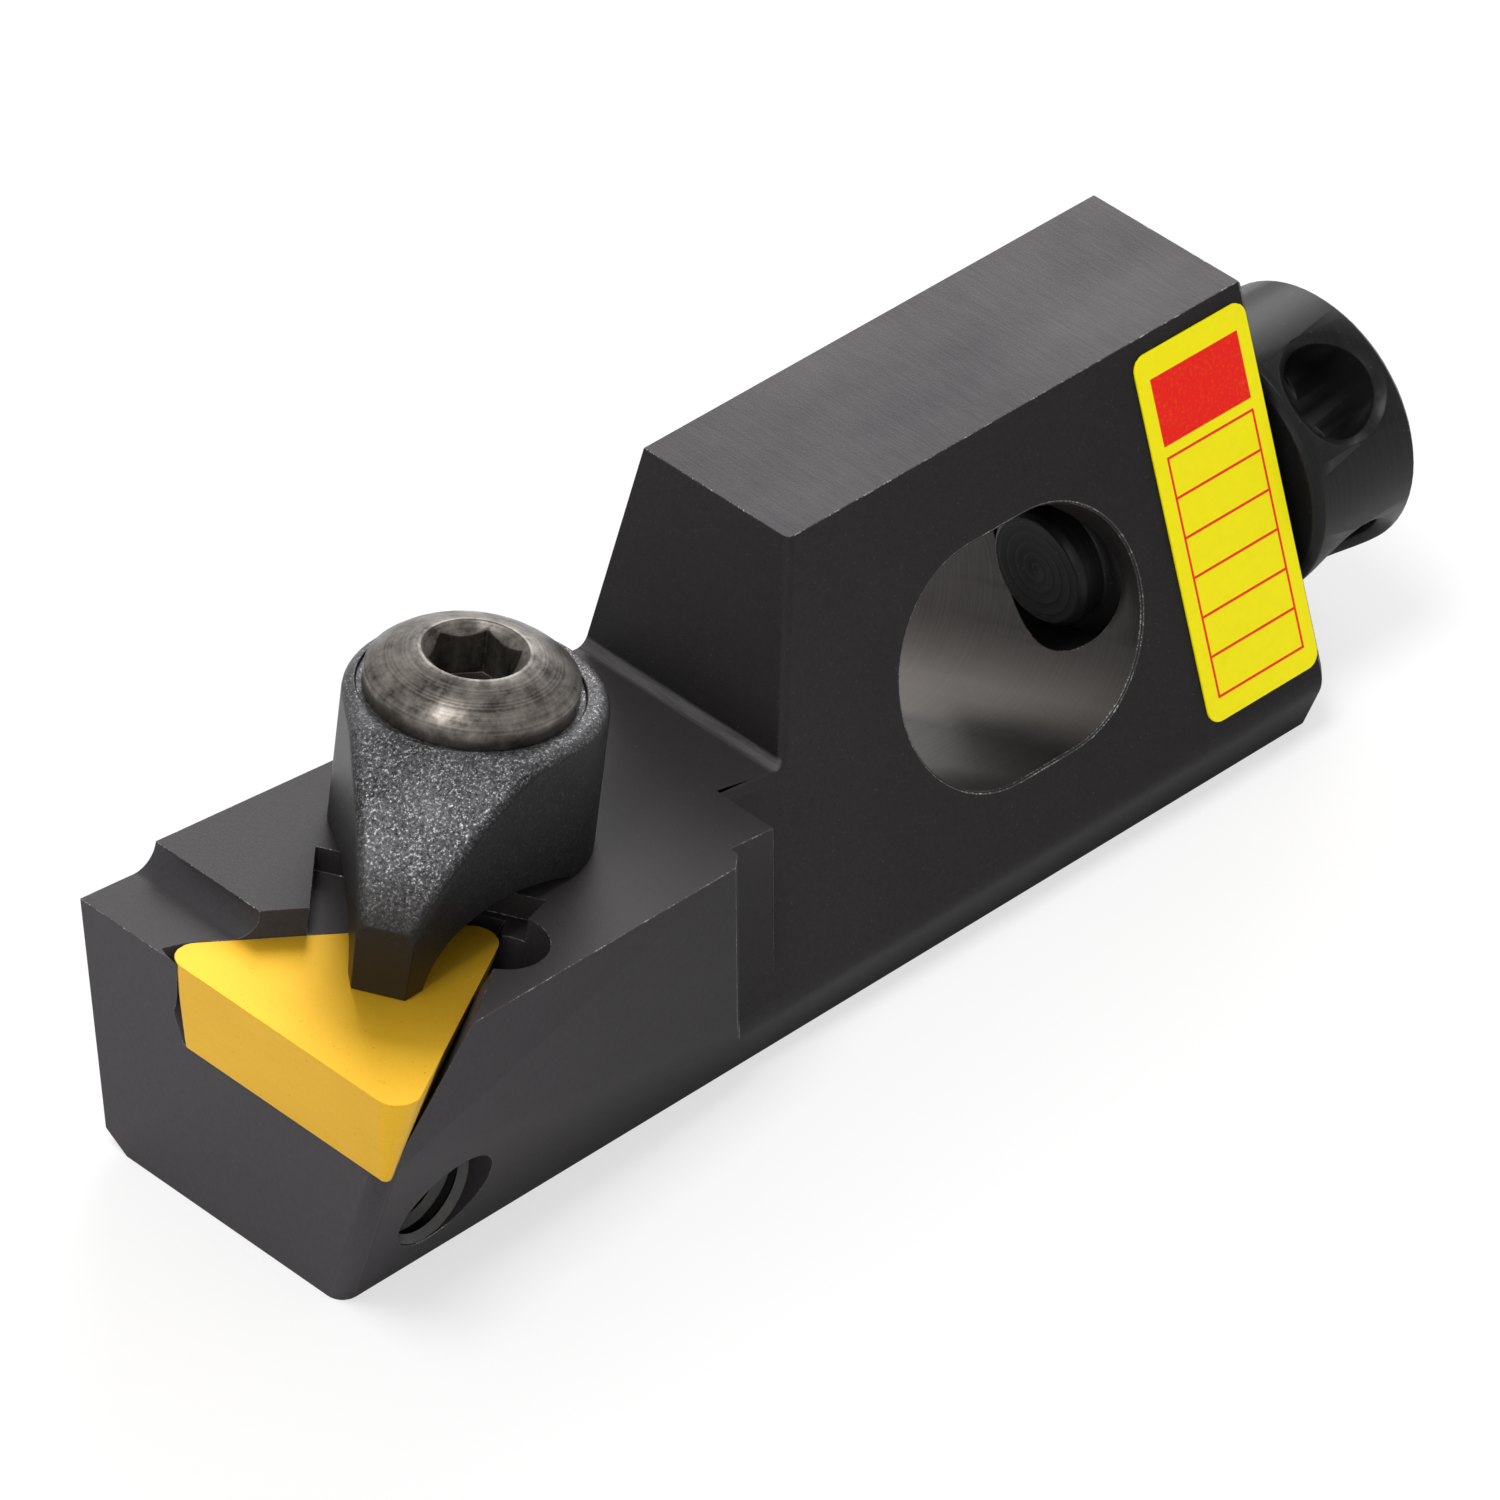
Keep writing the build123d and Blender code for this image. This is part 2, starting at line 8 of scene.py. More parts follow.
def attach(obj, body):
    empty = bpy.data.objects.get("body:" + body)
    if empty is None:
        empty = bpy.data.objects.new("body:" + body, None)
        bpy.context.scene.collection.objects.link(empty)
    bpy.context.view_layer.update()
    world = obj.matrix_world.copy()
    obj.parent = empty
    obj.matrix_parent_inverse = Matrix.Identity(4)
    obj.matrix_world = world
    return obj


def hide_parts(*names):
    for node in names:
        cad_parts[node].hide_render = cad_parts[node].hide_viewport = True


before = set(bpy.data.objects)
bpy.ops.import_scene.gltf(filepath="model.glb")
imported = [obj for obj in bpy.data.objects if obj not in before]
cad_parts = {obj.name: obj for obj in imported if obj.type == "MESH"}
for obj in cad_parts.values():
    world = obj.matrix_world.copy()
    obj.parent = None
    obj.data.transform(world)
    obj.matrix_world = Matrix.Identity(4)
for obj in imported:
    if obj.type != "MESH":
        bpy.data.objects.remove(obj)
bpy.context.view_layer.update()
MM = 0.001

# ---- camera ------------------------------------------------------------------------------------
# A long lens, high on the insert side, so that the long edges hardly converge.
AZIMUTH = math.radians(43.493)
ELEVATION = math.radians(37.799)
ROLL = math.radians(2.513)
DISTANCE = 376.36 * MM
AIM = Vector((8.602, 0.259, 6.922)) * MM
LENS = 297.3

back = Vector((math.cos(AZIMUTH) * math.cos(ELEVATION), math.sin(AZIMUTH) * math.cos(ELEVATION),
               math.sin(ELEVATION)))
level = Vector((-math.sin(AZIMUTH), math.cos(AZIMUTH), 0))
upright = back.cross(level)
across = level * math.cos(ROLL) + upright * math.sin(ROLL)
camera = bpy.data.objects.new("camera", bpy.data.cameras.new("camera"))
camera.data.lens = LENS
camera.data.sensor_width = 36
camera.data.clip_start = 0.01
camera.matrix_world = Matrix.Translation(AIM + back * DISTANCE) @ Matrix(
    (across, back.cross(across), back)).transposed().to_4x4()
bpy.context.scene.collection.objects.link(camera)
bpy.context.scene.camera = camera
bpy.context.scene.view_settings.view_transform = "Standard"


# ---- cartridge body ----------------------------------------------------------------------------
# One piece of alloy steel, milled, hardened and blackened. The top is ground after blackening, each
# milled face keeps its cutter's marks, and the broken edges show specks of bare steel.
BLACK = (0.0065, 0.006, 0.0066)
BLACK_WARM = (0.017, 0.0145, 0.0152)
FRONT_GREY = (0.054, 0.050, 0.054)
MILLED = (0.036, 0.033, 0.033)
GROUND = (0.016, 0.015, 0.017)
GROUND_LIGHT = (0.062, 0.058, 0.059)
BARE = (0.34, 0.32, 0.30)
WALL_STEEL_AND_HIGHLIGHT = (0.20, 0.183, 0.170)
FOOT_FILLET_HIGHLIGHT = (0.10, 0.096, 0.096)
TOP_HEIGHT = 15.0 * MM
RAKE = math.radians(6)
LEAN = math.radians(20)
UP = (-math.sin(RAKE), 0, math.cos(RAKE))
OUT = (0, math.cos(LEAN), math.sin(LEAN))
DOWN_FACE = (0, -math.sin(LEAN), math.cos(LEAN))
PLATFORM = 7.544 * MM
STRIP = 6.694 * MM
BLOCK_FRONT = 12.628 * MM
BLOCK_LEAN = math.radians(19.9)
FOOT_FACING = (math.cos(math.radians(58)), 0, math.sin(math.radians(58)))
SLOT_MIDDLE = 6.530 * MM
SLOT_HALF_TRAVEL = 1.185 * MM
SLOT_RADIUS = 3.97 * MM
FRONT_END, REAR_END = 31.1 * MM, -12.1 * MM
SLIVER = 0.025 * MM
EDGE_BREAK = 0.024 * MM


class Flow:
    """A value or a colour on its way through a material. The operators add the nodes."""

    def __init__(self, tree, socket):
        self.tree = tree
        self.socket = socket

    def make(self, kind, settings=None, values=None, out=0):
        """One node: its settings first, then the values or links of its sockets."""
        node = self.tree.nodes.new(kind)
        for name, value in (settings or {}).items():
            if name == "stops":
                ramp = node.color_ramp
                while len(ramp.elements) < len(value):
                    ramp.elements.new(1)
                for stop, (at, shade) in zip(ramp.elements, value):
                    stop.position = at
                    grey = isinstance(shade, (int, float))
                    stop.color = (shade, shade, shade, 1) if grey else (*shade, 1)
            else:
                setattr(node, name, value)
        for name, value in (values or {}).items():
            if isinstance(value, Flow):
                self.tree.links.new(value.socket, node.inputs[name])
            else:
                node.inputs[name].default_value = value
        return Flow(self.tree, node.outputs[out])

    def maths(self, operation, first, second=0.0, clamp=False):
        settings = {"operation": operation, "use_clamp": clamp}
        return self.make("ShaderNodeMath", settings, {0: first, 1: second})

    def __add__(self, other):
        return self.maths("ADD", self, other)

    def __sub__(self, other):
        return self.maths("SUBTRACT", self, other)

    def __mul__(self, other):
        return self.maths("MULTIPLY", self, other)

    def __truediv__(self, other):
        return self.maths("DIVIDE", self, other)

    def __pow__(self, other):
        return self.maths("POWER", self, other)

    def __radd__(self, other):
        return self.maths("ADD", other, self)

    def __rsub__(self, other):
        return self.maths("SUBTRACT", other, self)

    def __rmul__(self, other):
        return self.maths("MULTIPLY", other, self)

    def above(self, edge, soft):
        """0 below the edge, 1 above it, with a soft step."""
        return self.maths("DIVIDE", self - (edge - soft), 2 * soft, clamp=True)

    def inverse(self):
        return self.maths("SUBTRACT", 1.0, self)

    def size(self):
        return self.maths("ABSOLUTE", self)

    def dot(self, direction):
        """How far these coordinates reach along a direction."""
        return self.make("ShaderNodeVectorMath", {"operation": "DOT_PRODUCT"},
                         {0: self, 1: direction}, out=1)

    def facing(self, direction, least=0.95, soft=0.02):
        """1 where the surface looks along a direction."""
        return self.make("ShaderNodeTexCoord", out=1).dot(direction).above(least, soft)

    def lathe_lines(self, direction, fineness, detail):
        """Fine lines square to a direction, as a turning or boring tool leaves them."""
        reach = self.dot(direction)
        drawn = reach.make("ShaderNodeCombineXYZ", None, {0: reach})
        slightly = self.make("ShaderNodeVectorMath", {"operation": "SCALE"}, {0: self, "Scale": 0.04})
        return drawn.make("ShaderNodeVectorMath", {"operation": "ADD"},
                          {0: drawn, 1: slightly}).noise(fineness, detail)

    def wave_lines(self, fineness, axis, bend, bend_fineness):
        """Wavy cutter lines across an axis."""
        settings = {"wave_type": "BANDS", "bands_direction": axis}
        return self.make("ShaderNodeTexWave", settings, {
            "Vector": self, "Scale": fineness, "Distortion": bend, "Detail": 2.0,
            "Detail Scale": bend_fineness / fineness})

    def stretched(self, x, y, z, turn=(0, 0, 0)):
        """These coordinates in units of their own along each axis."""
        settings = {"vector_type": "POINT"}
        return self.make("ShaderNodeMapping", settings,
                         {"Vector": self, "Scale": (x, y, z), "Rotation": turn})

    def noise(self, scale, detail=2.0, rough=0.5):
        return self.make("ShaderNodeTexNoise", None,
                         {"Vector": self, "Scale": scale, "Detail": detail, "Roughness": rough})

    def axis(self, name):
        return self.make("ShaderNodeSeparateXYZ", None, {0: self}, out="XYZ".index(name))

    def shade(self, low, high):
        """A colour between two, by this value."""
        return self.make("ShaderNodeMix", {"data_type": "RGBA"},
                         {0: self, 6: (*low, 1), 7: (*high, 1)}, out=2)

    def over(self, below, colour):
        """This mask lays a colour over what is below it."""
        top = colour if isinstance(colour, Flow) else (*colour, 1)
        return self.make("ShaderNodeMix", {"data_type": "RGBA"}, {0: self, 6: below, 7: top}, out=2)

    def relief(self, height, strength=1.0, below=None):
        values = {"Height": self, "Distance": height, "Strength": strength}
        if below:
            values["Normal"] = below
        return self.make("ShaderNodeBump", None, values)


def new_finish(name, **constants):
    """A material with its fixed values set, its object coordinates, and a call that links the rest."""
    material = bpy.data.materials.new(name)
    material.use_nodes = True
    tree = material.node_tree
    shader = tree.nodes["Principled BSDF"]
    for socket, value in constants.items():
        shader.inputs[socket.replace("_", " ")].default_value = value
    place = Flow(tree, tree.nodes.new("ShaderNodeTexCoord").outputs["Object"])

    def join(**links):
        for socket, flow in links.items():
            tree.links.new(flow.socket, shader.inputs[socket.replace("_", " ")])
        return material
    return place, join


def finished_copy(node, materials, edge_width=0.0, edge_angle=28.0, smooth_angle=50.0):
    """A closed copy of a CAD node with its sharp edges broken; the second material is the edges'."""
    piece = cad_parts[node].copy()
    piece.data = piece.data.copy()
    piece.name = piece.data.name = node + "_finished"
    bpy.context.scene.collection.objects.link(piece)
    mesh = bmesh.new()
    mesh.from_mesh(piece.data)
    bmesh.ops.remove_doubles(mesh, verts=mesh.verts, dist=SLIVER)
    bmesh.ops.dissolve_degenerate(mesh, dist=SLIVER, edges=mesh.edges)
    bmesh.ops.dissolve_limit(mesh, angle_limit=math.radians(0.4), verts=mesh.verts, edges=mesh.edges)
    mesh.to_mesh(piece.data)
    mesh.free()
    piece.data.materials.clear()
    for material in materials:
        piece.data.materials.append(material)
    for polygon in piece.data.polygons:
        polygon.material_index = 0
    if edge_width:
        bevel = piece.modifiers.new("edges", "BEVEL")
        bevel.width = edge_width
        bevel.segments = 2
        bevel.limit_method = "ANGLE"
        bevel.angle_limit = math.radians(edge_angle)
        bevel.use_clamp_overlap = False
        bevel.material = len(materials) - 1
        bevel.miter_outer = "MITER_SHARP"
    weighted_shading(piece, smooth_angle)
    return piece


def apply_modifiers(piece):
    graph = bpy.context.evaluated_depsgraph_get()
    finished = bpy.data.meshes.new_from_object(piece.evaluated_get(graph))
    piece.modifiers.clear()
    piece.data = finished


def weighted_shading(piece, angle):
    """Flat faces stay flat and the broken edges shade as rounds; any modifiers are applied first."""
    if piece.modifiers:
        apply_modifiers(piece)
    piece.data.shade_smooth()
    piece.data.set_sharp_from_angle(angle=math.radians(angle))
    weighted = piece.modifiers.new("normals", "WEIGHTED_NORMAL")
    weighted.keep_sharp = True
    apply_modifiers(piece)


def on_plane(place, normal, offset, slack=0.02):
    """1 on the faces that lie in the plane and look along its normal, 0 elsewhere."""
    near = (place.dot(normal) - offset).size().above(slack * MM, slack * MM / 4).inverse()
    return near * place.facing(normal)


def slot_radius(place):
    """Distance from the middle line of the mounting slot."""
    past_centre = place.axis("X").size() - SLOT_HALF_TRAVEL
    along = past_centre.maths("MAXIMUM", past_centre, 0)
    down = place.dot(DOWN_FACE) - SLOT_MIDDLE
    return (along * along + down * down) ** 0.5


def black_steel():
    place, join = new_finish("black_oxide_steel", Specular_IOR_Level=0.10)
    cloud = place.noise(230, 3)
    grain = place.noise(15000, 2, 0.65)
    coarse = place.noise(5200, 2, 0.6)
    specks = place.noise(9000, 1, 0.5).above(0.73, 0.03)
    toward_front = (place.axis("X") - REAR_END) / (FRONT_END - REAR_END)
    tone = (cloud * 0.5 + grain * 1.1 + coarse * 0.5 - 0.55).above(0.5, 0.5)
    skin = tone.shade(BLACK, BLACK_WARM)
    # The skin turns patchily greyer towards the front end.
    greying = toward_front ** 2.2 * (0.55 + grain * 0.5 + coarse * 0.4)
    skin = (greying * 0.75).over(skin, FRONT_GREY)
    foot_shade = place.dot(UP).above(PLATFORM + 0.9 * MM, 0.9 * MM).inverse()
    seat = place.dot(UP).above(STRIP - 0.3 * MM, 0.05 * MM).inverse() * place.facing(UP)

    platform = on_plane(place, UP, PLATFORM)
    strip = on_plane(place, UP, STRIP, 0.1)
    cutter = place.stretched(700, 700, 700).noise(9, 2)
    milled = (platform + strip).maths("MINIMUM", platform + strip, 1)
    skin = (milled * (0.35 + 0.5 * grain + 0.2 * cutter)).over(skin, MILLED)

    block = on_plane(place, (math.cos(BLOCK_LEAN), 0, math.sin(BLOCK_LEAN)), BLOCK_FRONT)
    wave = place.wave_lines(4200, "Z", 2.2, 900)

    top = place.axis("Z").above(TOP_HEIGHT - 0.012 * MM, 0.004 * MM)
    scratches = place.stretched(16000, 700, 700, (0, 0, math.radians(4))).noise(1, 3, 0.7)
    drift = place.stretched(110, 260, 100).noise(1, 3)
    ground = (scratches * 0.75 + drift * 0.9 - 0.3).above(0.5, 0.42).shade(GROUND, GROUND_LIGHT)
    colour = top.over(skin, ground)

    wall = slot_radius(place).above(SLOT_RADIUS + 0.02 * MM, 0.01 * MM).inverse()
    rings = place.lathe_lines(OUT, 15000, 3)
    # Painted shade: the block's front face is laid near black where it meets the platform, fading out
    # upwards; the low up-facing seat faces are set to plain black.
    colour = (block * foot_shade * 0.8 + seat).over(colour, BLACK)
    # Painted highlight: light streaks laid along the root fillet where the block meets the platform.
    rise = place.dot(UP) - PLATFORM
    root_fillet = (place.facing(FOOT_FACING, 0.80, 0.06) * rise.above(0.02 * MM, 0.02 * MM)
                   * rise.above(0.3 * MM, 0.05 * MM).inverse())
    streaks = place.stretched(7000, 420, 7000).noise(1, 3, 0.7).above(0.5, 0.22)
    colour = (root_fillet * (0.25 + 0.6 * streaks)).over(colour, FOOT_FILLET_HIGHLIGHT)
    # The slot's wall is tinted a little lighter along its lathe lines, and much lighter in a patch near its
    # middle: that patch is a painted highlight.
    painted_wall_band = ((place.axis("X") + 2.6 * MM).size().above(1.1 * MM, 0.8 * MM).inverse()
               * (place.dot(DOWN_FACE) - SLOT_MIDDLE).above(-2.2 * MM, 1.4 * MM).inverse())
    colour = (wall * (0.1 + 0.2 * rings + 0.65 * painted_wall_band)).over(colour, WALL_STEEL_AND_HIGHLIGHT)
    colour = (specks * (1 - top) * 0.18).over(colour, (0.09, 0.085, 0.085))

    rough = 0.40 + 0.16 * grain - 0.06 * top - 0.04 * milled - 0.08 * wall
    bump = (grain * 1.1 + coarse * 0.8).relief(0.006 * MM, 0.6)
    bump = (wave * block).relief(0.006 * MM, 0.5, bump)
    bump = (scratches * top * 0.5 + rings * wall).relief(0.003 * MM, 0.7, bump)
    return join(Base_Color=colour, Roughness=rough, Metallic=top * 0.55 + wall * 0.8 + milled * 0.1,
                Normal=bump)


def broken_edges():
    place, join = new_finish("broken_edges", Specular_IOR_Level=0.4)
    patches = place.noise(1400, 2)
    specks = (place.noise(14000, 2, 0.7) + patches * 0.8).above(1.05, 0.1)
    colour = specks.shade((0.022, 0.020, 0.020), BARE)
    return join(Base_Color=colour, Metallic=specks * 0.8, Roughness=0.46 - 0.12 * specks,
                Normal=specks.relief(0.004 * MM, 0.6))


body = finished_copy("cartridge_body", [black_steel(), broken_edges()], edge_width=EDGE_BREAK)
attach(body, "root")
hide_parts("cartridge_body")


# ---- threads -----------------------------------------------------------------------------------
# The cut thread that can be seen in the mouth of the side hole: a steel ridge that stands on the
# wall of the hole, one turn for each pitch.
def helix(name, pitch, turns, radius, ridge, material, seat):
    """One helical ridge round the local Z axis, set in place by the matrix."""
    tree = bpy.data.node_groups.new(name, "GeometryNodeTree")
    for label, kind, value in (("Pitch", "NodeSocketFloat", pitch), ("Turns", "NodeSocketFloat", turns),
                               ("Radius", "NodeSocketFloat", radius), ("Ridge", "NodeSocketFloat", ridge)):
        socket = tree.interface.new_socket(label, in_out="INPUT", socket_type=kind)
        socket.default_value = value
    tree.interface.new_socket("Geometry", in_out="OUTPUT", socket_type="NodeSocketGeometry")
    given = tree.nodes.new("NodeGroupInput")
    asked = {label: Flow(tree, given.outputs[label]) for label in ("Pitch", "Turns", "Radius", "Ridge")}
    spiral = asked["Turns"].make("GeometryNodeCurveSpiral", None, {
        "Resolution": 40, "Rotations": asked["Turns"], "Start Radius": asked["Radius"],
        "End Radius": asked["Radius"], "Height": asked["Turns"] * asked["Pitch"]})
    upright = spiral.make("GeometryNodeSetCurveNormal", {"mode": "Z_UP"}, {"Curve": spiral})
    section = spiral.make("GeometryNodeCurvePrimitiveCircle", None,
                          {"Resolution": 4, "Radius": asked["Ridge"]})
    ridge_mesh = upright.make("GeometryNodeCurveToMesh", None,
                              {"Curve": upright, "Profile Curve": section, "Fill Caps": True})
    whole = ridge_mesh.make("GeometryNodeRealizeInstances", None, {"Geometry": ridge_mesh})
    painted = whole.make("GeometryNodeSetMaterial", None, {"Geometry": whole, "Material": material})
    tree.links.new(painted.socket, tree.nodes.new("NodeGroupOutput").inputs["Geometry"])

    start = bpy.data.meshes.new(name)
    piece = bpy.data.objects.new(name, start)
    bpy.context.scene.collection.objects.link(piece)
    piece.modifiers.new("helix", "NODES").node_group = tree
    weighted_shading(piece, 30)
    piece.data.transform(seat)
    mesh = bmesh.new()
    mesh.from_mesh(piece.data)
    bmesh.ops.recalc_face_normals(mesh, faces=mesh.faces)
    mesh.to_mesh(piece.data)
    mesh.free()
    return piece


def thread_steel():
    place, join = new_finish("thread_steel", Specular_IOR_Level=0.6)
    grain = place.noise(9000, 2)
    greying = place.noise(2500, 2).above(0.55, 0.1)
    return join(Base_Color=greying.shade((0.006, 0.006, 0.006), (0.05, 0.048, 0.045)),
                Metallic=greying * 0.6, Roughness=0.28 + 0.15 * grain, Normal=grain.relief(0.004 * MM, 0.5))


SIDE_HOLE = Vector((26.8, 3.1, 2.9)) * MM
THREAD_PITCH = 0.7 * MM
THREAD_TURNS = 2.9
THREAD_RADIUS = 1.86 * MM
RIDGE_RADIUS = 0.27 * MM
into_hole = Matrix.Translation(SIDE_HOLE) @ Matrix.Rotation(-math.pi / 2, 4, "X")
side_thread = helix("side_hole_thread", THREAD_PITCH, THREAD_TURNS, THREAD_RADIUS, RIDGE_RADIUS,
                    thread_steel(), into_hole)
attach(side_thread, "root")


# ---- cutting insert ----------------------------------------------------------------------------
# Sintered carbide, pressed to shape and ground on its sides, with a thin gold-coloured coating.
GOLD = (0.56, 0.31, 0.008)
GOLD_LIGHT = (0.74, 0.44, 0.028)


def gold_coating():
    place, join = new_finish("gold_coating", Metallic=0.7, Specular_IOR_Level=0.3)
    cloud = place.noise(260, 3)
    grain = place.noise(16000, 3, 0.65)
    lines = place.stretched(900, 900, 9000).noise(1, 2)
    flank = on_plane(place, UP, STRIP, 0.03).inverse()
    colour = (cloud * 0.5 + grain * 0.6 + lines * flank * 0.2).above(0.55, 0.4).shade(GOLD, GOLD_LIGHT)
    dust = place.noise(7000, 1).above(0.76, 0.02)
    return join(Base_Color=(dust * 0.35).over(colour, (0.2, 0.1, 0.02)),
                Roughness=0.42 + 0.14 * grain, Normal=(grain + lines * flank * 0.5).relief(0.003 * MM, 0.5))


insert = finished_copy("cutting_insert", [gold_coating()], edge_width=0.03 * MM)
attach(insert, "root")
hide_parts("cutting_insert")


# ---- top clamp ---------------------------------------------------------------------------------
# A forged steel finger, blasted and blackened. Its grainy skin carries painted glints on its up-facing
# faces and painted shade on its flanks, and the tip is rubbed smooth and brownish.
CLAMP_BLACK = (0.010, 0.010, 0.011)
CLAMP_WORN = (0.125, 0.122, 0.126)
CLAMP_FLANK_SHADE = (0.0035, 0.0032, 0.0034)
CLAMP_TIP = Vector((27.4, 3.58, 9.4)) * MM


def blasted_steel():
    place, join = new_finish("blasted_steel", Specular_IOR_Level=0.17)
    grit = place.noise(9000, 4, 0.7)
    cloud = place.noise(420, 3)
    cells = place.make("ShaderNodeTexVoronoi", None, {"Vector": place, "Scale": 22000, "Randomness": 1})
    cell_colour = Flow(cells.tree, cells.socket.node.outputs["Color"])
    facets = cells.make("ShaderNodeSeparateXYZ", None, {0: cell_colour})
    glint = facets.above(0.80, 0.12) * grit.above(0.50, 0.06)
    to_tip = place.make("ShaderNodeVectorMath", {"operation": "DISTANCE"}, {0: place, 1: CLAMP_TIP}, out=1)
    smooth = to_tip.above(2.6 * MM, 1.3 * MM).inverse()
    colour = (grit * 0.9 + cloud * 0.4).above(0.68, 0.22).shade(CLAMP_BLACK, CLAMP_WORN)
    # Painted shade: faces that do not look up are laid over with a near-black flank colour.
    facing = place.facing((0, 0, 1), 0.60, 0.20)
    glint = glint * (0.1 + 0.9 * facing)
    colour = ((1 - facing) * 0.95).over(colour, CLAMP_FLANK_SHADE)
    # Painted glints: bright grey grit cells laid into the colour, mostly on up-facing faces.
    colour = (glint * (1 - smooth * 0.8)).over(colour, (0.26, 0.26, 0.27))
    colour = (smooth * 0.85).over(colour, (0.016, 0.012, 0.006))
    return join(Base_Color=colour, Metallic=0.1 + facing * 0.5 + glint * 0.2, Roughness=0.42 - 0.12 * glint,
                Normal=(grit + facets * 0.35).relief(0.028 * MM, 0.75 - 0.35 * smooth))


clamp = finished_copy("top_clamp", [blasted_steel()], edge_width=0.05 * MM)
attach(clamp, "clamp")
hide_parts("top_clamp")


# ---- clamp screw -------------------------------------------------------------------------------
# A low domed socket screw, turned and blackened, its crown worn back to a brownish grey; the ring
# under the clamp is spring steel from the same stock.
SCREW_DARK = (0.022, 0.018, 0.015)
SCREW_WORN = (0.20, 0.18, 0.16)
CLAMP_FOOT = Vector((20.3, -0.58, 9.72)) * MM


def worn_turned_steel():
    place, join = new_finish("worn_turned_steel", Specular_IOR_Level=0.5)
    centred = place.make("ShaderNodeMapping", {"vector_type": "TEXTURE"},
                         {"Vector": place, "Location": CLAMP_FOOT, "Rotation": (0, -RAKE, 0)})
    x, y = centred.axis("X"), centred.axis("Y")
    radius = (x * x + y * y) ** 0.5
    rings = radius.make("ShaderNodeCombineXYZ", None, {"X": radius}).noise(11000, 2)
    mottle = place.noise(1100, 4, 0.7)
    socket = radius.above(1.25 * MM, 0.02 * MM).inverse()
    wear = (mottle * 1.0 + rings * 0.45 - 0.2).above(0.55, 0.2)
    colour = wear.shade(SCREW_DARK, SCREW_WORN)
    colour = (socket * 0.85).over(colour, (0.012, 0.009, 0.007))
    return join(Base_Color=colour, Metallic=0.75 - 0.5 * socket, Roughness=0.44 - 0.12 * wear,
                Normal=(rings + mottle * 0.4).relief(0.010 * MM, 0.6))


worn_steel = worn_turned_steel()
for node, finish_slot, width in (("clamp_screw", "clamp_screw_steel", 0.04),
                                 ("clamp_retaining_ring", "ring_steel", 0.03)):
    piece = finished_copy(node, [worn_steel], edge_width=width * MM)
    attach(piece, "clamp_screw_body")
    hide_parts(node)


# ---- adjusting screws --------------------------------------------------------------------------
# Turned from bar and blackened; the round head keeps the fine lines of the lathe, and the dog point
# in the slot its faced-off spiral.
GLOSS_BLACK = (0.004, 0.004, 0.0045)
GLOSS_GREY = (0.012, 0.012, 0.013)
AXIAL_HEIGHT = 7.1 * MM
POINT_X = -4.2 * MM


def glossy_black_steel():
    place, join = new_finish("glossy_black_steel", Specular_IOR_Level=0.13)
    lines = place.stretched(15000, 350, 350).noise(1, 3, 0.6)
    y, z = place.axis("Y"), place.axis("Z") - AXIAL_HEIGHT
    radius = (y * y + z * z) ** 0.5
    turn = radius / (0.36 * MM) + z.maths("ARCTAN2", z, y) / (2 * math.pi)
    spiral = turn.maths("FRACT", turn)
    face = (place.axis("X").above(POINT_X - 0.03 * MM, 0.01 * MM)
            * radius.above(1.85 * MM, 0.05 * MM).inverse())
    groove = spiral.above(0.5, 0.4) * face
    colour = (lines.above(0.5, 0.3) * (1 - face) + groove).shade(GLOSS_BLACK, GLOSS_GREY)
    dust = place.noise(8000, 1).above(0.74, 0.02)
    bump = (lines * (1 - face) * 0.35).relief(0.003 * MM, 0.6)
    return join(Base_Color=(dust * 0.4).over(colour, (0.07, 0.065, 0.06)),
                Roughness=0.28 + 0.13 * lines + face * 0.06, Normal=groove.relief(0.02 * MM, 0.8, bump))


turned_black = glossy_black_steel()
for node, rides_on, finish_slot in (
        ("axial_adjusting_screw", "axial_screw", "adjusting_screw_steel"),
        ("radial_adjusting_screw", "radial_screw", "set_screw_steel")):
    piece = finished_copy(node, [turned_black], edge_width=0.04 * MM)
    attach(piece, rides_on)
    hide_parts(node)


# ---- label -------------------------------------------------------------------------------------
# Thin printed film stuck on the leaning face: yellow, with a plain red head and an empty ruled form.
YELLOW = (0.93, 0.83, 0.0)
YELLOW_DEEP = (0.86, 0.75, 0.0)
RED = (0.80, 0.008, 0.003)
LABEL_MIDDLE_X = -9.175 * MM
LABEL_MIDDLE_V = 6.988 * MM


def printed_film():
    place, join = new_finish("printed_film", Specular_IOR_Level=0.12)
    across = place.axis("X") - LABEL_MIDDLE_X
    along = place.dot(DOWN_FACE) - LABEL_MIDDLE_V
    fibre = place.noise(2600, 3)
    ink = place.noise(9000, 2)

    def box(u0, u1, v0, v1):
        soft = 0.012 * MM
        return (across.above(u0 * MM, soft) * across.above(u1 * MM, soft).inverse()
                * along.above(v0 * MM, soft) * along.above(v1 * MM, soft).inverse())

    printed = box(-1.95, 1.95, 3.1, 5.4)
    frame_line = box(-1.95, 1.95, -5.5, 2.75) - box(-1.86, 1.86, -5.41, 2.66)
    printed = printed.maths("MAXIMUM", printed, frame_line)
    for step in range(1, 6):
        height = 2.7 - step * 1.36
        rule = box(-1.95, 1.95, height - 0.045, height + 0.045)
        printed = printed.maths("MAXIMUM", printed, rule)
    paper = (fibre * 0.7 + ink * 0.3).above(0.5, 0.4).shade(YELLOW_DEEP, YELLOW)
    return join(Base_Color=(printed * (0.9 + ink * 0.2)).over(paper, RED), Roughness=0.34 + 0.1 * fibre,
                Normal=(fibre + printed * 0.3).relief(0.0025 * MM, 0.3))


label = finished_copy("stock_label", [printed_film()], edge_width=0.02 * MM)
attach(label, "root")
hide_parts("stock_label")


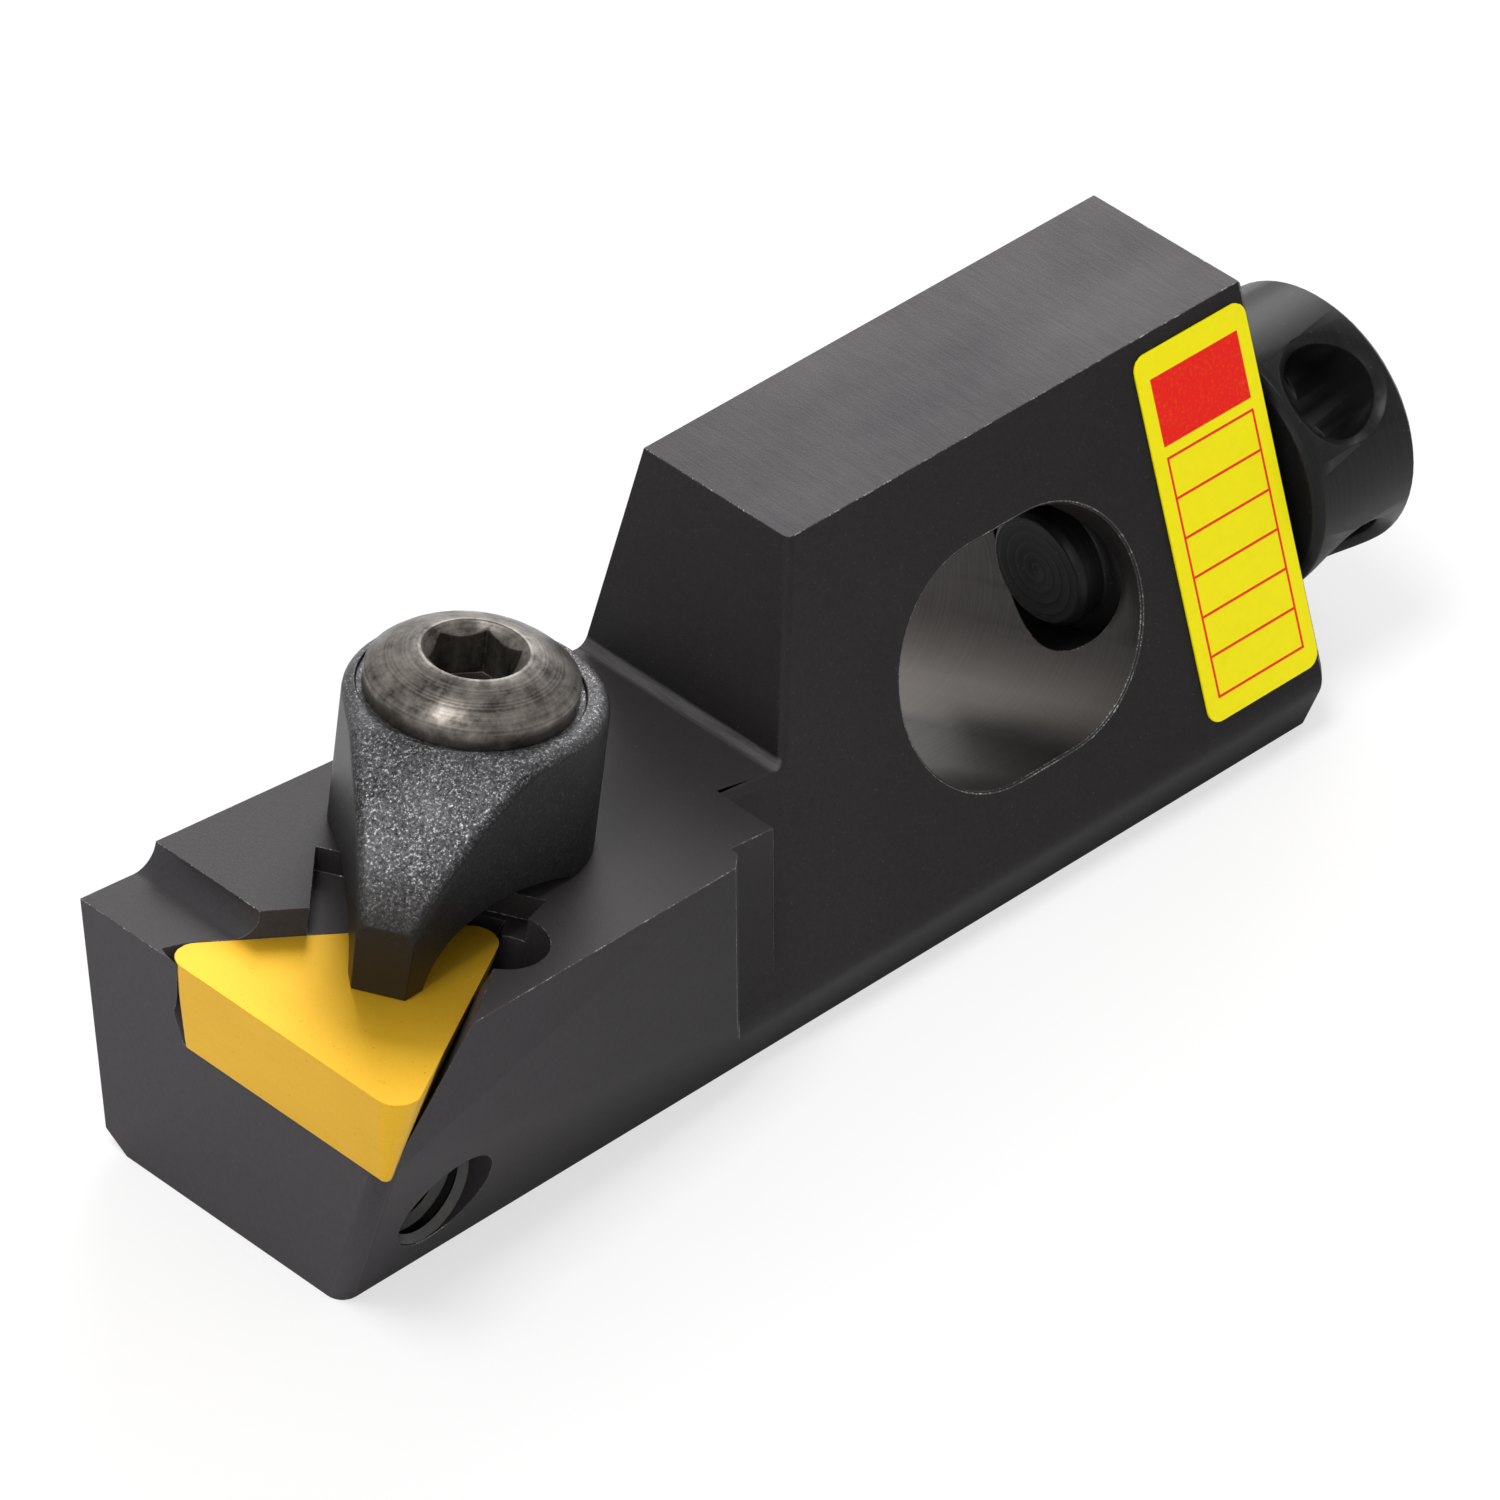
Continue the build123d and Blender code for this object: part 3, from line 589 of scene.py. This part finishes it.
# ---- floor and light ---------------------------------------------------------------------------
# A white table, one large soft lamp overhead, one behind that grazes the flat tops, and a weak one
# in front at the edge's height.
TABLE_SEEN_WHITE = 0.62
floor = bpy.data.objects.new("floor", bpy.data.meshes.new("floor"))
TABLE_HALF = 3.0
corners = [(x * TABLE_HALF, y * TABLE_HALF, 0) for x, y in ((-1, -1), (1, -1), (1, 1), (-1, 1))]
floor.data.from_pydata(corners, [], [(0, 1, 2, 3)])
bpy.context.scene.collection.objects.link(floor)
place, join = new_finish("white_table", Roughness=0.8, Specular_IOR_Level=0.1)
table = join(Base_Color=place.noise(3).shade((0.93, 0.93, 0.93), (0.95, 0.95, 0.95)))
ray = place.make("ShaderNodeLightPath")
white = place.make("ShaderNodeEmission")
lit = Flow(place.tree, place.tree.nodes["Principled BSDF"].outputs[0])
both = place.make("ShaderNodeMixShader", None, {0: ray * TABLE_SEEN_WHITE, 1: lit, 2: white})
place.tree.links.new(both.socket, place.tree.nodes["Material Output"].inputs["Surface"])
floor.data.materials.append(table)


def lamp(name, towards, distance, size, watts):
    light = bpy.data.lights.new(name, "AREA")
    light.shape = "SQUARE"
    light.size = size
    light.energy = watts
    holder = bpy.data.objects.new(name, light)
    direction = Vector(towards).normalized()
    holder.location = AIM + direction * distance
    holder.rotation_euler = direction.to_track_quat("Z", "Y").to_euler()
    bpy.context.scene.collection.objects.link(holder)


lamp("softbox_above", (0.30, 0.02, 0.95), 0.5, 0.16, 1.3)
lamp("softbox_behind", (-0.68, -0.54, 0.48), 0.5, 0.26, 1.1)
lamp("softbox_front", (0.85, 0.30, 0.25), 0.6, 0.2, 0.45)

AMBIENT = 0.55
world = bpy.data.worlds.new("studio")
world.use_nodes = True
bpy.context.scene.world = world
tree = world.node_tree
sky = Flow(tree, tree.nodes.new("ShaderNodeLightPath").outputs["Is Camera Ray"])
glossy = Flow(tree, sky.socket.node.outputs["Is Glossy Ray"])
clear = Flow(tree, sky.socket.node.outputs["Is Transmission Ray"])
seen = sky.maths("MAXIMUM", sky, glossy.maths("MAXIMUM", glossy, clear))
tree.links.new((AMBIENT + seen * (1 - AMBIENT)).socket, tree.nodes["Background"].inputs["Strength"])
tree.nodes["Background"].inputs["Color"].default_value = (1, 1, 1, 1)
